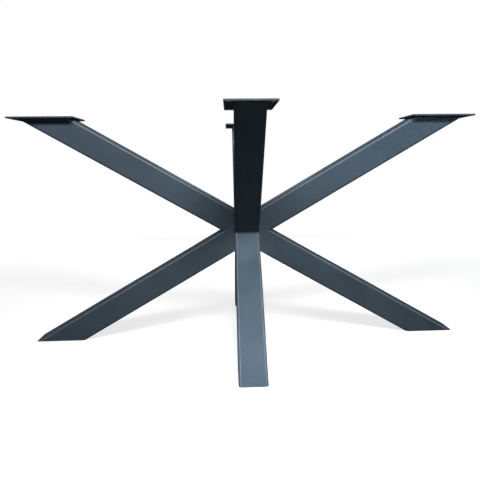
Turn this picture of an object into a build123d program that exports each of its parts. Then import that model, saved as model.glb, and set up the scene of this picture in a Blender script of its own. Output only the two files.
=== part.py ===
from build123d import *
from math import cos, radians, sin, tan
import os

# A welded steel base for a dining table, in millimetres.
# Two long beams cross in the XZ plane, and a front and a rear V of the same tube are welded
# to the crossing. Each of the four upper arms carries a screw plate for the table top, and each
# of the four legs is cut level with the floor and closed by a small cap.
# The origin is on the floor under the crossing, +X runs along the table and +Y to its back.

# Square tube
tube = 80.0
wall = 3.0
corner = 7.0

# Whole base
height = 725.0
plate_thick = 5.0
cap_thick = 3.0
beam_slope = 30.0
vee_slope = 45.0
vee_drop = 4.5

# Screw plates
plate_long = 200.0
plate_wide = 130.0
plate_overhang = 26.0
plate_corner = 2.0
plate_edge_break = 0.6
hole_diameter = 9.0
hole_inset = 14.0

# Welds
weld_feather = 1.5
bead_radius = 2.8
bead_sides = 8

# Worked out from the driving sizes
half = tube / 2
bore = tube - 2 * wall
bore_corner = corner - wall
plate_under = height - plate_thick
crossing_z = (plate_under + cap_thick) / 2
vee_z = crossing_z - vee_drop

slope = radians(beam_slope)
pitch = radians(vee_slope)
beam_reach = crossing_z / sin(slope) + tube / tan(slope)
vee_reach = crossing_z / sin(pitch) + tube / tan(pitch)

crossing = Vector(0, 0, crossing_z)
vee_point = Vector(0, 0, vee_z)

# Section planes across the tubes. The rising beam climbs towards +X, the falling one descends.
rising = Plane(origin=crossing, x_dir=(0, 1, 0), z_dir=(cos(slope), 0, sin(slope)))
falling = Plane(origin=crossing, x_dir=(0, 1, 0), z_dir=(cos(slope), 0, -sin(slope)))
leg_plane = Plane(origin=vee_point, x_dir=(1, 0, 0), z_dir=(0, -cos(pitch), -sin(pitch)))
arm_plane = Plane(origin=vee_point, x_dir=(1, 0, 0), z_dir=(0, -cos(pitch), sin(pitch)))

# The upper and lower faces of the rising beam, where the falling beam's two halves butt on it
rising_normal = Vector(-sin(slope), 0, cos(slope))
upper_butt = Plane(origin=crossing + rising_normal * half, z_dir=rising_normal)
lower_butt = Plane(origin=crossing - rising_normal * half, z_dir=rising_normal)

# Level cuts: at the floor, on top of the caps, under the plates, and the mitre of the Vs
floor_level = Plane.XY
cap_level = Plane.XY.offset(cap_thick)
under_level = Plane.XY.offset(plate_under)
mitre_level = Plane.XY.offset(vee_z)


def tube_section():
    """The hollow outline of the tube, centred on the sketch."""
    RectangleRounded(tube, tube, corner)
    RectangleRounded(bore, bore, bore_corner, mode=Mode.SUBTRACT)


def outer_section():
    """The tube's outline without its hollow."""
    RectangleRounded(tube, tube, corner)


# Long beams: the rising one is whole, the falling one is two pieces that butt on it
with BuildPart() as through_beam:
    with BuildSketch(rising):
        tube_section()
    extrude(amount=beam_reach, both=True)
    split(bisect_by=cap_level, keep=Keep.TOP)
    split(bisect_by=under_level, keep=Keep.BOTTOM)

with BuildPart() as upper_left_arm:
    with BuildSketch(falling):
        tube_section()
    extrude(amount=-beam_reach)
    split(bisect_by=upper_butt, keep=Keep.TOP)
    split(bisect_by=under_level, keep=Keep.BOTTOM)

with BuildPart() as lower_right_leg:
    with BuildSketch(falling):
        tube_section()
    extrude(amount=beam_reach)
    split(bisect_by=lower_butt, keep=Keep.BOTTOM)
    split(bisect_by=cap_level, keep=Keep.TOP)

# Outlines that the other pieces are trimmed against
with BuildSketch(rising) as rising_outline:
    outer_section()

with BuildSketch(falling) as falling_outline:
    outer_section()

with BuildSketch(leg_plane) as leg_outline:
    outer_section()

with BuildSketch(arm_plane) as arm_outline:
    outer_section()

# Weld metal ground flush in the four grooves between the rising beam's rounded corners and the
# square ends of the falling beam's two halves
groove = corner - weld_feather
groove_centre = half - groove / 2
with BuildPart() as crossing_welds:
    with BuildSketch(rising):
        with Locations(*[(u * groove_centre, v * groove_centre) for u in (-1, 1) for v in (-1, 1)]):
            Rectangle(groove, groove)
        RectangleRounded(tube, tube, corner, mode=Mode.SUBTRACT)
    extrude(amount=tube, both=True)
    extrude(falling_outline.sketch, amount=tube, both=True, mode=Mode.INTERSECT)


def fit_round_crossing():
    """Cope the piece being built round both long beams and stop it at the middle plane."""
    for outline in (rising_outline, falling_outline):
        extrude(outline.sketch, amount=beam_reach, both=True, mode=Mode.SUBTRACT)
    split(bisect_by=Plane.XZ, keep=Keep.TOP)


# Front V: a leg and an arm, mitred together at the front and coped round the crossing behind
with BuildPart() as front_lower_leg:
    with BuildSketch(leg_plane):
        tube_section()
    extrude(amount=vee_reach, both=True)
    split(bisect_by=mitre_level, keep=Keep.BOTTOM)
    split(bisect_by=cap_level, keep=Keep.TOP)
    fit_round_crossing()

with BuildPart() as front_upper_arm:
    with BuildSketch(arm_plane):
        tube_section()
    extrude(amount=vee_reach, both=True)
    split(bisect_by=mitre_level, keep=Keep.TOP)
    split(bisect_by=under_level, keep=Keep.BOTTOM)
    fit_round_crossing()

# Rear V: the front one mirrored
with BuildPart() as rear_lower_leg:
    mirror(front_lower_leg.part, about=Plane.XZ)

with BuildPart() as rear_upper_arm:
    mirror(front_upper_arm.part, about=Plane.XZ)

# Round weld beads down both sides of each V, where it stands on the crossing, and across its
# mouth. They follow the flat faces and stop where the tubes' corners turn away.
flat_half = half - corner
side_bead_reach = flat_half / cos(slope) + half * tan(slope)
mouth_y = half / sin(pitch)
with BuildPart() as front_hub_beads:
    with BuildSketch(Plane.XY.offset(crossing_z)):
        with Locations((-half, -half), (half, -half)):
            Circle(bead_radius)
    extrude(amount=side_bead_reach, both=True)
    with BuildSketch(Plane.YZ):
        with Locations((-mouth_y, vee_z)):
            Circle(bead_radius)
    extrude(amount=flat_half, both=True)
    for outline in (rising_outline, falling_outline, leg_outline, arm_outline):
        extrude(outline.sketch, amount=beam_reach, both=True, mode=Mode.SUBTRACT)

with BuildPart() as rear_hub_beads:
    mirror(front_hub_beads.part, about=Plane.XZ)

# Weld beads round the tops of the arms, under the screw plates, eight-sided to keep them light
bead_arms = {
    "left_plate_bead": (upper_left_arm, falling_outline),
    "right_plate_bead": (through_beam, rising_outline),
    "front_plate_bead": (front_upper_arm, arm_outline),
}

beads = {}
for name, (arm, outline) in bead_arms.items():
    seam = arm.faces().sort_by(Axis.Z)[-1].outer_wire()
    with BuildPart() as bead:
        with BuildSketch(Plane(origin=seam @ 0, z_dir=seam % 0)):
            RegularPolygon(bead_radius, bead_sides)
        sweep(path=seam)
        extrude(outline.sketch, amount=beam_reach, both=True, mode=Mode.SUBTRACT)
        split(bisect_by=under_level, keep=Keep.BOTTOM)
    beads[name] = bead

with BuildPart() as rear_plate_bead:
    mirror(beads["front_plate_bead"].part, about=Plane.XZ)
beads["rear_plate_bead"] = rear_plate_bead

# Screw plates: laid under the table top, long side along the arm, with a hole near each corner
side_arm_out = (plate_under - crossing_z) / tan(slope) + half / sin(slope)
vee_arm_out = (plate_under - vee_z) / tan(pitch) + half / sin(pitch)
side_plate_x = side_arm_out + plate_overhang - plate_long / 2
vee_plate_y = vee_arm_out + plate_overhang - plate_long / 2
hole_row = plate_long - 2 * hole_inset
hole_gap = plate_wide - 2 * hole_inset

along_x = (1, 0, 0)
along_y = (0, 1, 0)
plate_places = {
    "left_top_plate": (-side_plate_x, 0, along_x),
    "right_top_plate": (side_plate_x, 0, along_x),
    "front_top_plate": (0, -vee_plate_y, along_y),
    "rear_top_plate": (0, vee_plate_y, along_y),
}

plates = {}
for name, (x, y, long_side) in plate_places.items():
    plate_plane = Plane(origin=(x, y, plate_under), x_dir=long_side, z_dir=(0, 0, 1))
    with BuildPart() as plate:
        with BuildSketch(plate_plane):
            RectangleRounded(plate_long, plate_wide, plate_corner)
            with GridLocations(hole_row, hole_gap, 2, 2):
                Circle(hole_diameter / 2, mode=Mode.SUBTRACT)
        extrude(amount=plate_thick)
        rims = plate.faces().sort_by(Axis.Z)
        chamfer(rims[0].outer_wire().edges() + rims[-1].outer_wire().edges(), plate_edge_break)
    plates[name] = plate

# Foot caps: flat pieces that close the legs at the floor, ground flush with the tube all round
cap_tubes = {
    "left_foot_cap": (rising, -beam_reach),
    "right_foot_cap": (falling, beam_reach),
    "front_foot_cap": (leg_plane, vee_reach),
}

caps = {}
for name, (tube_plane, reach) in cap_tubes.items():
    with BuildPart() as cap:
        with BuildSketch(tube_plane):
            outer_section()
        extrude(amount=reach)
        split(bisect_by=cap_level, keep=Keep.BOTTOM)
        split(bisect_by=floor_level, keep=Keep.TOP)
    caps[name] = cap

with BuildPart() as rear_foot_cap:
    mirror(caps["front_foot_cap"].part, about=Plane.XZ)
caps["rear_foot_cap"] = rear_foot_cap

# Names and files
through_beam.part.label = "through_beam"
upper_left_arm.part.label = "upper_left_arm"
lower_right_leg.part.label = "lower_right_leg"
crossing_welds.part.label = "crossing_welds"
front_lower_leg.part.label = "front_lower_leg"
front_upper_arm.part.label = "front_upper_arm"
rear_lower_leg.part.label = "rear_lower_leg"
rear_upper_arm.part.label = "rear_upper_arm"
front_hub_beads.part.label = "front_hub_beads"
rear_hub_beads.part.label = "rear_hub_beads"

os.makedirs("parts", exist_ok=True)
export_step(through_beam.part, "parts/through_beam.step")
export_step(upper_left_arm.part, "parts/upper_left_arm.step")
export_step(lower_right_leg.part, "parts/lower_right_leg.step")
export_step(crossing_welds.part, "parts/crossing_welds.step")
export_step(front_lower_leg.part, "parts/front_lower_leg.step")
export_step(front_upper_arm.part, "parts/front_upper_arm.step")
export_step(rear_lower_leg.part, "parts/rear_lower_leg.step")
export_step(rear_upper_arm.part, "parts/rear_upper_arm.step")
export_step(front_hub_beads.part, "parts/front_hub_beads.step")
export_step(rear_hub_beads.part, "parts/rear_hub_beads.step")
for name, piece in (plates | beads | caps).items():
    piece.part.label = name
    export_step(piece.part, f"parts/{name}.step")
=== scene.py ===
import math
import random

import bmesh
import bpy
from mathutils import Matrix, Vector


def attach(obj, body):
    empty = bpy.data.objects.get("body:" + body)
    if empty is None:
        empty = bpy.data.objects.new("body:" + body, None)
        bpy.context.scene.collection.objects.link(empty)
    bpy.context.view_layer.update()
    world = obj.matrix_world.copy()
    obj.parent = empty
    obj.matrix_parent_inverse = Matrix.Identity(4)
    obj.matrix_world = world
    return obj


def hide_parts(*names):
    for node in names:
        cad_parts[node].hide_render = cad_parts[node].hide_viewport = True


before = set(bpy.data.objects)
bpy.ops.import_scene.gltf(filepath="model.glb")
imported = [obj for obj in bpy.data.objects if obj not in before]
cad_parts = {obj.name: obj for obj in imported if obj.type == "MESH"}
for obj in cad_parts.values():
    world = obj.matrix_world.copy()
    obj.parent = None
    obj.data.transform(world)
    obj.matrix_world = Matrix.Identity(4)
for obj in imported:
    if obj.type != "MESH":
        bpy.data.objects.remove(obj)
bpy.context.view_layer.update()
scene = bpy.context.scene
scene.view_settings.view_transform = "Standard"

# Sizes of the base that the welds follow, in metres and radians
HALF = 0.040
CORNER = 0.007
CROSSING_Z = 0.3615
VEE_Z = 0.357
PLATE_UNDER = 0.720
BEAM_SLOPE = math.radians(30.0)
VEE_SLOPE = math.radians(45.0)
BEAD_RADIUS = 0.0028

# Colours of the coat, linear: plain, and paler where a highlight is painted on tube corners and on
# rims that are partly worn
COAT = (0.047, 0.066, 0.086)
COAT_HIGHLIGHT_AND_WEAR = (0.125, 0.15, 0.175)
BEAM_PAINTED_HIGHLIGHT = (0.19, 0.21, 0.225)
PLATE = (0.040, 0.056, 0.074)
PLATE_WEAR_AND_HIGHLIGHT = (0.10, 0.12, 0.145)

# Scale, detail and roughness of the noises in the coat
CLOUDS = (7.0, 3.0, 0.55)
SPECKLE = (620.0, 2.0, 0.6)
WAVES = (150.0, 1.0, 0.4)
PATCHES = (45.0, 3.0, 0.6)

# Tone: clouds make the colour darker or lighter, and specks lift it towards a paler one
CLOUD_RANGE = (0.35, 0.65)
CLOUD_DARK, CLOUD_LIGHT = 0.90, 1.10
SPECK_RANGE = (0.45, 0.75)
SPECK_LIGHT = 1.5
SPECK_MOST = 0.22

# Sheen and grain
SPECULAR = 0.0005
ROUGHNESS = (0.60, 0.68)
ROUGHNESS_RANGE = (0.3, 0.7)
SPECKLE_IN_WAVES = 0.35
BUMP_STRENGTH = 0.35
BUMP_DISTANCE = 0.00012
BEAD_GRAIN = 0.6

# Painted highlight along the upper rounded corners of the tubes: the share of the normal along an
# axis at which the highlight starts and at which it ends, each from none to full
BEAM_HIGHLIGHT_BAND = ((0.88, 0.95), (0.985, 0.9998))
VEE_HIGHLIGHT_BAND = ((0.02, 0.10), (0.20, 0.38))
# The painted highlight lies only on corners that face up, where light from above falls
HIGHLIGHT_UPWARD_RANGE = (0.03, 0.20)
PATCH_RANGE = (0.35, 0.65)
PATCH_LEAST = 0.75

# Paler rims of the plates and beads, partly edge wear and partly a painted highlight: cosines of
# the bend, from none to full
RIM_RADIUS = 0.004
RIM_RANGE = (0.995, 0.90)
RIM_MOST = 0.5


# Helpers for shader nodes

def add(tree, kind, **values):
    """A new node with its properties set."""
    node = tree.nodes.new(kind)
    for name, value in values.items():
        setattr(node, name, value)
    return node


def put(node, **values):
    """Sets inputs by name, with _ for a space."""
    for name, value in values.items():
        node.inputs[name.replace("_", " ")].default_value = value
    return node


def maths(tree, operation, a, b):
    """A Math node of two sockets or numbers."""
    node = add(tree, "ShaderNodeMath", operation=operation)
    for socket, value in zip(node.inputs, (a, b)):
        if isinstance(value, (int, float)):
            socket.default_value = value
        else:
            tree.links.new(value, socket)
    return node.outputs[0]


def remap(tree, value, low, high, to_low, to_high, smooth=False):
    """A Map Range node from low..high to to_low..to_high, clamped."""
    node = add(tree, "ShaderNodeMapRange", clamp=True)
    node.interpolation_type = "SMOOTHSTEP" if smooth else "LINEAR"
    tree.links.new(value, node.inputs["Value"])
    return put(node, From_Min=low, From_Max=high, To_Min=to_low, To_Max=to_high).outputs[0]


def noise(tree, vector, scale, detail, rough):
    """A noise texture's value."""
    node = put(add(tree, "ShaderNodeTexNoise"), Scale=scale, Detail=detail, Roughness=rough)
    tree.links.new(vector, node.inputs["Vector"])
    return node.outputs["Fac"]


def mixed(tree, fac, a, b):
    """A colour mix from a to b, each a tuple or a socket."""
    node = add(tree, "ShaderNodeMix", data_type="RGBA")
    tree.links.new(fac, node.inputs["Factor"])
    for socket, value in ((node.inputs[6], a), (node.inputs[7], b)):
        if isinstance(value, tuple):
            socket.default_value = (*value, 1.0)
        else:
            tree.links.new(value, socket)
    return node.outputs[2]


# Materials

def painted_corner_highlight(axis, start, end):
    """A painted highlight for tubes: along the upper rounded corners, where the normal's share of
    the axis lies between the start and the end of a band."""
    def highlight_and_wear_mask(tree, normal):
        parts = add(tree, "ShaderNodeSeparateXYZ")
        tree.links.new(normal, parts.inputs[0])
        share = maths(tree, "ABSOLUTE", parts.outputs[axis], 0)
        starting = remap(tree, share, *start, 0.0, 1.0, smooth=True)
        ending = remap(tree, share, *end, 1.0, 0.0, smooth=True)
        band = maths(tree, "MULTIPLY", starting, ending)
        # Only on corners that face up, where the painted highlight stands in for light from above
        upward = remap(tree, parts.outputs["Z"], *HIGHLIGHT_UPWARD_RANGE, 0.0, 1.0, smooth=True)
        return maths(tree, "MULTIPLY", band, upward)
    return highlight_and_wear_mask


def rim_wear_and_highlight(tree, normal):
    """Paler rims for plates and beads, partly wear and partly a painted highlight: where the
    surface bends within a few millimetres.
    """
    bevel = put(add(tree, "ShaderNodeBevel", samples=4), Radius=RIM_RADIUS)
    bend = add(tree, "ShaderNodeVectorMath", operation="DOT_PRODUCT")
    tree.links.new(bevel.outputs[0], bend.inputs[0])
    tree.links.new(normal, bend.inputs[1])
    return remap(tree, bend.outputs["Value"], *RIM_RANGE, 0.0, RIM_MOST)


def scaled(colour, factor):
    return tuple(c * factor for c in colour)


def powder_coat(name, colour, highlight_and_wear_colour, highlight_and_wear_mask, grain=1.0):
    """Fine-textured powder coat: speckle, slight flow waves, and paler edges: a painted highlight
    along tube corners, partly wear and partly a painted highlight along rims. The mask function
    takes the tree and the surface normal and gives how much each place is made paler."""
    mat = bpy.data.materials.new(name)
    mat.use_nodes = True
    tree = mat.node_tree
    bsdf = tree.nodes["Principled BSDF"]
    place = add(tree, "ShaderNodeTexCoord").outputs["Object"]

    cloudy = noise(tree, place, *CLOUDS)
    fine = noise(tree, place, *SPECKLE)
    waves = noise(tree, place, *WAVES)

    normal = add(tree, "ShaderNodeNewGeometry").outputs["Normal"]
    patchy = remap(tree, noise(tree, place, *PATCHES), *PATCH_RANGE, PATCH_LEAST, 1.0)
    # Paler where a highlight is painted on tube corners, and where rims are partly worn and partly
    # given a painted highlight, broken into patches
    highlight_and_wear = maths(tree, "MULTIPLY", highlight_and_wear_mask(tree, normal), patchy)

    cloud = remap(tree, cloudy, *CLOUD_RANGE, 0.0, 1.0)
    tone = mixed(tree, cloud, scaled(colour, CLOUD_DARK), scaled(colour, CLOUD_LIGHT))
    speck = remap(tree, fine, *SPECK_RANGE, 0.0, SPECK_MOST)
    speckled = mixed(tree, speck, tone, scaled(colour, SPECK_LIGHT))
    final = mixed(tree, highlight_and_wear, speckled, highlight_and_wear_colour)
    tree.links.new(final, bsdf.inputs["Base Color"])

    rough = remap(tree, cloudy, *ROUGHNESS_RANGE, *ROUGHNESS)
    tree.links.new(rough, bsdf.inputs["Roughness"])
    put(bsdf, IOR=1.5, Specular_IOR_Level=SPECULAR)

    height = maths(tree, "ADD", maths(tree, "MULTIPLY", fine, SPECKLE_IN_WAVES), waves)
    bump = put(add(tree, "ShaderNodeBump"), Strength=BUMP_STRENGTH * grain, Distance=BUMP_DISTANCE)
    tree.links.new(height, bump.inputs["Height"])
    tree.links.new(bump.outputs[0], bsdf.inputs["Normal"])
    return mat


# Beams and V tubes get a painted highlight along their upper corners; plates and beads get paler
# rims, partly wear and partly a painted highlight
beam_coat = powder_coat("powder_coat", COAT, BEAM_PAINTED_HIGHLIGHT, painted_corner_highlight("Y", *BEAM_HIGHLIGHT_BAND))
vee_coat = powder_coat("powder_coat_vee", COAT, COAT_HIGHLIGHT_AND_WEAR, painted_corner_highlight("X", *VEE_HIGHLIGHT_BAND))
plate_coat = powder_coat("plate_coat", PLATE, PLATE_WEAR_AND_HIGHLIGHT, rim_wear_and_highlight)
bead_coat = powder_coat("bead_coat", COAT, COAT_HIGHLIGHT_AND_WEAR, rim_wear_and_highlight, BEAD_GRAIN)

for node_name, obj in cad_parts.items():
    mat = beam_coat
    if node_name.endswith("_top_plate"):
        mat = plate_coat
    elif node_name.startswith(("front_", "rear_")):
        mat = vee_coat
    if not obj.material_slots:
        obj.data.materials.append(mat)
    for slot in obj.material_slots:
        slot.material = mat


# Weld beads

BEAD_SIDES = 10
BEAD_STEP = 0.0007
SEED_STEP = 31

# Each ripple is a hump and a short level stretch, as factors on the radius
RIPPLE_SHORTEST, RIPPLE_LONGEST = 0.0024, 0.0036
RIPPLE_LEVEL, RIPPLE_RISE = 0.95, 0.11
RIPPLE_OVER_HUMP = 1.15

# A bead with ends thins towards them
END_SWELL = 0.35
FADE_LENGTH = 0.004

# A direction that no bead follows, from which the rings take their sides
ASKEW = Vector((0.31, 0.17, 0.93))


def swept_bead(mesh, points, seed, closed):
    """Adds a rippled round bead along the points to a bmesh, closed as a loop or capped."""
    rng = random.Random(seed)
    run = list(points) + ([points[0]] if closed else [])
    lengths = [0.0]
    for a, b in zip(run, run[1:]):
        lengths.append(lengths[-1] + (b - a).length)
    total = lengths[-1]
    count = int(total / BEAD_STEP)
    ripples = [0.0]
    while ripples[-1] < total:
        ripples.append(ripples[-1] + rng.uniform(RIPPLE_SHORTEST, RIPPLE_LONGEST))
    rings = []
    k = j = 0
    for i in range(count if closed else count + 1):
        s = total * i / count
        while k < len(lengths) - 2 and lengths[k + 1] < s:
            k += 1
        while j < len(ripples) - 2 and ripples[j + 1] < s:
            j += 1
        a, b = run[k], run[k + 1]
        centre = a.lerp(b, (s - lengths[k]) / (lengths[k + 1] - lengths[k]))
        along = (b - a).normalized()
        side = along.cross(ASKEW).normalized()
        up = side.cross(along).normalized()
        phase = (s - ripples[j]) / (ripples[j + 1] - ripples[j])
        hump = math.sin(math.pi * min(1.0, phase * RIPPLE_OVER_HUMP))
        swell = RIPPLE_LEVEL + RIPPLE_RISE * hump
        if not closed:
            swell *= min(1.0, END_SWELL + min(s, total - s) / FADE_LENGTH)
        ring = []
        for n in range(BEAD_SIDES):
            angle = 2 * math.pi * n / BEAD_SIDES
            offset = side * math.cos(angle) + up * math.sin(angle)
            ring.append(mesh.verts.new(centre + offset * BEAD_RADIUS * swell))
        rings.append(ring)
    pairs = list(zip(rings, rings[1:])) + ([(rings[-1], rings[0])] if closed else [])
    for first, second in pairs:
        for n in range(BEAD_SIDES):
            m = (n + 1) % BEAD_SIDES
            mesh.faces.new((first[n], first[m], second[m], second[n]))
    if not closed:
        mesh.faces.new(list(reversed(rings[0])))
        mesh.faces.new(rings[-1])


def weld(name, node, runs, seed, closed=False):
    """Rippled beads along the runs, in place of the plain beads of a CAD node."""
    mesh = bmesh.new()
    for i, points in enumerate(runs):
        swept_bead(mesh, points, seed * SEED_STEP + i, closed)
    bmesh.ops.recalc_face_normals(mesh, faces=mesh.faces)
    data = bpy.data.meshes.new(name)
    mesh.to_mesh(data)
    mesh.free()
    for polygon in data.polygons:
        polygon.use_smooth = True
    obj = bpy.data.objects.new(name, data)
    scene.collection.objects.link(obj)
    data.materials.append(bead_coat)
    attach(obj, "root")
    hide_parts(node)


def rounded_outline(x_half, y_half, rx, ry, per_corner=6):
    """Points round a rectangle with elliptic corners, centred on the origin."""
    out = []
    for x_side, y_side, start in ((1, 1, 0), (-1, 1, 90), (-1, -1, 180), (1, -1, 270)):
        for i in range(per_corner + 1):
            angle = math.radians(start + 90 * i / per_corner)
            x = x_side * (x_half - rx) + rx * math.cos(angle)
            y = y_side * (y_half - ry) + ry * math.sin(angle)
            out.append((x, y))
    return out


# Hub: a bead down each side of the V, where it stands on the crossing, and one across its mouth
flat_half = HALF - CORNER
side_reach = flat_half / math.cos(BEAM_SLOPE) + HALF * math.tan(BEAM_SLOPE)
mouth = HALF / math.sin(VEE_SLOPE)
for hub_side, sign, seed in (("front", -1, 3), ("rear", 1, 4)):
    runs = []
    for x in (-HALF, HALF):
        runs.append([Vector((x, sign * HALF, CROSSING_Z + z)) for z in (-side_reach, side_reach)])
    runs.append([Vector((x, sign * mouth, VEE_Z)) for x in (-flat_half, flat_half)])
    weld(hub_side + "_hub_weld", hub_side + "_hub_beads", runs, seed)

# Tops: a bead round the top of each arm, under its plate
tops = {
    "left": (BEAM_SLOPE, CROSSING_Z, (-1, 0), 11),
    "right": (BEAM_SLOPE, CROSSING_Z, (1, 0), 12),
    "front": (VEE_SLOPE, VEE_Z, (0, -1), 13),
    "rear": (VEE_SLOPE, VEE_Z, (0, 1), 14),
}
for top_side, (slope, start_z, (dx, dy), seed) in tops.items():
    centre_out = (PLATE_UNDER - start_z) / math.tan(slope)
    loop = []
    for a, b in rounded_outline(HALF / math.sin(slope), HALF, CORNER / math.sin(slope), CORNER):
        out = centre_out + a
        loop.append(Vector((dx * out + abs(dy) * b, dy * out + abs(dx) * b, PLATE_UNDER)))
    weld(top_side + "_plate_weld", top_side + "_plate_bead", [loop], seed, closed=True)


# Floor and backdrop: white to the camera and in reflections, dim where they light the object

BACKDROP = (1.0, 1.0, 1.0, 1.0)
FILL = (0.80, 0.90, 1.0, 1.0)
FILL_STRENGTH = 0.05

FLOOR_HALF = 40.0
FLOOR_DROP = 0.0003
FLOOR_LIT = (0.42, 0.42, 0.42, 1.0)
FLOOR_DIM = (0.08, 0.08, 0.08, 1.0)

# The floor glows more with the distance from the object, so that only its shadow shows
GLOW_NEAR, GLOW_FAR = 0.9, 3.0
GLOW_LEAST = 0.70


def seen_directly(tree):
    """1 for camera, glossy and transmission rays."""
    path = add(tree, "ShaderNodeLightPath")
    both = maths(tree, "MAXIMUM", path.outputs["Is Camera Ray"], path.outputs["Is Glossy Ray"])
    return maths(tree, "MAXIMUM", both, path.outputs["Is Transmission Ray"])


def shown_or_lighting(tree, shown, lighting, output):
    """Ends a tree with the shader that is seen directly and the one that lights the object."""
    choose = add(tree, "ShaderNodeMixShader")
    tree.links.new(seen_directly(tree), choose.inputs[0])
    tree.links.new(lighting.outputs[0], choose.inputs[1])
    tree.links.new(shown.outputs[0], choose.inputs[2])
    tree.links.new(choose.outputs[0], add(tree, output).inputs[0])


world = bpy.data.worlds.new("studio")
scene.world = world
world.use_nodes = True
tree = world.node_tree
tree.nodes.clear()
white = put(add(tree, "ShaderNodeBackground"), Color=BACKDROP, Strength=1.0)
fill = put(add(tree, "ShaderNodeBackground"), Color=FILL, Strength=FILL_STRENGTH)
shown_or_lighting(tree, white, fill, "ShaderNodeOutputWorld")

floor_mesh = bpy.data.meshes.new("floor")
signs = ((-1, -1), (1, -1), (1, 1), (-1, 1))
floor_corners = [(x * FLOOR_HALF, y * FLOOR_HALF, 0) for x, y in signs]
floor_mesh.from_pydata(floor_corners, [], [(0, 1, 2, 3)])
floor = bpy.data.objects.new("floor", floor_mesh)
scene.collection.objects.link(floor)
floor.location.z = -FLOOR_DROP

floor_mat = bpy.data.materials.new("floor")
floor_mat.use_nodes = True
tree = floor_mat.node_tree
tree.nodes.clear()
far = add(tree, "ShaderNodeVectorMath", operation="LENGTH")
tree.links.new(add(tree, "ShaderNodeTexCoord").outputs["Object"], far.inputs[0])
glow = remap(tree, far.outputs["Value"], GLOW_NEAR, GLOW_FAR, GLOW_LEAST, 1.0, smooth=True)
pale = add(tree, "ShaderNodeEmission")
tree.links.new(glow, pale.inputs["Strength"])
lit = put(add(tree, "ShaderNodeBsdfDiffuse"), Color=FLOOR_LIT)
shadowed = add(tree, "ShaderNodeAddShader")
tree.links.new(pale.outputs[0], shadowed.inputs[0])
tree.links.new(lit.outputs[0], shadowed.inputs[1])
dim = put(add(tree, "ShaderNodeBsdfDiffuse"), Color=FLOOR_DIM)
shown_or_lighting(tree, shadowed, dim, "ShaderNodeOutputMaterial")
floor_mesh.materials.append(floor_mat)


# Lamps

MIDDLE = (0.0, 0.0, 0.36)
RIGHT_ARM = (0.60, 0.0, 0.62)
LEG_END = (0.01, -0.36, 0.06)
MOUTH = (0.0, -0.09, 0.32)
WHITE = (1.0, 1.0, 1.0)
WARM = (1.1, 1.0, 0.9)
COOL = (0.7, 1.0, 1.2)


def lamp(name, place, aim, power, size, colour, spread=180):
    """A soft rectangular lamp that points at aim, with its power in watts."""
    data = bpy.data.lights.new(name, "AREA")
    data.shape = "RECTANGLE"
    data.size, data.size_y = size
    data.energy = power
    data.color = colour
    data.spread = math.radians(spread)
    obj = bpy.data.objects.new(name, data)
    scene.collection.objects.link(obj)
    obj.location = place
    obj.rotation_mode = "QUATERNION"
    obj.rotation_quaternion = (Vector(aim) - Vector(place)).to_track_quat("-Z", "Y")
    obj.visible_camera = False


lamp("key", (0.1, -1.1, 1.5), MIDDLE, 41.0, (0.9, 0.3), WHITE)
lamp("front", (0.2, -1.7, 0.7), MIDDLE, 2.4, (0.6, 0.3), WARM)
lamp("back", (0.0, 1.9, 0.75), MIDDLE, 20.0, (0.8, 0.06), WHITE)
lamp("right_arm", (0.0, -1.6, 0.95), RIGHT_ARM, 0.25, (0.2, 0.2), COOL, spread=30)
lamp("leg_front", (0.1, -1.3, 0.8), LEG_END, 0.55, (0.3, 0.3), WHITE, spread=25)
lamp("mouth_front", (0.0, -1.25, 1.35), MOUTH, 0.05, (0.06, 0.06), WHITE, spread=7)


# Camera, fitted to the photograph, with focal length and centre in its pixels

IMAGE = 480
FOCAL_PIXELS = 470.019
CENTRE_X, CENTRE_Y = 252.851, 244.951
SENSOR = 36.0
NEAREST, FARTHEST = 0.05, 200.0
CAMERA_PLACE = (-0.053519, -1.561224, 0.580224)
PITCH, YAW, ROLL = 0.17351, -0.04755, -0.01083


def turn(axis, angle):
    """A rotation matrix about a named axis, in radians."""
    return Matrix.Rotation(angle, 3, axis)


# Its rows point right, down and forward in the picture
level = Matrix(((1, 0, 0), (0, 0, -1), (0, 1, 0)))
right, down, forward = turn("Z", ROLL) @ turn("X", PITCH) @ turn("Y", YAW) @ level
cam_data = bpy.data.cameras.new("camera")
cam_data.sensor_width = SENSOR
cam_data.lens = FOCAL_PIXELS / IMAGE * SENSOR
cam_data.shift_x = (IMAGE / 2 - CENTRE_X) / IMAGE
cam_data.shift_y = (CENTRE_Y - IMAGE / 2) / IMAGE
cam_data.clip_start = NEAREST
cam_data.clip_end = FARTHEST
camera = bpy.data.objects.new("camera", cam_data)
scene.collection.objects.link(camera)
look = Matrix((right, -down, -forward)).transposed().to_4x4()
look.translation = Vector(CAMERA_PLACE)
camera.matrix_world = look
scene.camera = camera
